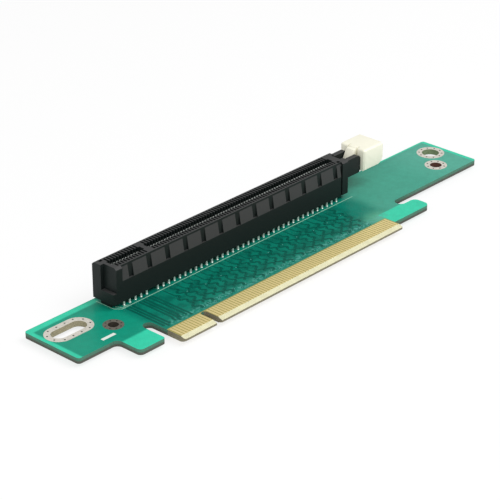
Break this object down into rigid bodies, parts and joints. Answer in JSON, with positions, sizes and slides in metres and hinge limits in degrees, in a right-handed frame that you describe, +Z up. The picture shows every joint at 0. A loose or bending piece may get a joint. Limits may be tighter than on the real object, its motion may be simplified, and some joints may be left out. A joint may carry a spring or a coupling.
{
  "type": "pcie riser card",
  "caption": "Flat riser board with gold edge fingers, an upright card socket along its back edge, a hinged card latch, a hook tab and slotted and round mounting holes.",
  "frame": {"origin": "middle of the board's outline, at the height of the solder joints' tips", "axes": "+X along the socket towards its latch, +Y from the edge fingers towards the socket, +Z up from the board"},
  "size_m": [0.1572, 0.0312, 0.0149],
  "materials": {
    "solder_mask": "satin green solder mask over copper, pale green where there is no copper",
    "socket_plastic": "matte black moulding",
    "latch_plastic": "satin cream-white moulding",
    "contact_metal": "plated, satin",
    "finger_gold": "gold plated, satin",
    "solder_metal": "bright solder",
    "tinned_copper": "plated, satin"
  },
  "bodies": {
    "riser": {"circuit_board": "solder_mask", "socket_housing": "socket_plastic", "mounting_lands": "tinned_copper", "contacts_front_outer_short": "contact_metal", "contacts_front_outer_long": "contact_metal", "contacts_front_inner_short": "contact_metal", "contacts_front_inner_long": "contact_metal", "contacts_back_outer_short": "contact_metal", "contacts_back_outer_long": "contact_metal", "contacts_back_inner_short": "contact_metal", "contacts_back_inner_long": "contact_metal", "solder_front_outer": "solder_metal", "solder_front_inner": "solder_metal", "solder_back_outer": "solder_metal", "solder_back_inner": "solder_metal", "fingers_top_short": "finger_gold", "fingers_top_long": "finger_gold", "fingers_bottom_short": "finger_gold", "fingers_bottom_long": "finger_gold"},
    "latch": {"card_latch": "latch_plastic"}
  },
  "joints": [
    {"name": "latch_hinge", "type": "hinge", "parent": "riser", "child": "latch", "pos_m": [0.0381, 0.01077, 0.0095], "axis": [0, 1, 0], "range_deg": [0, 30]}
  ]
}
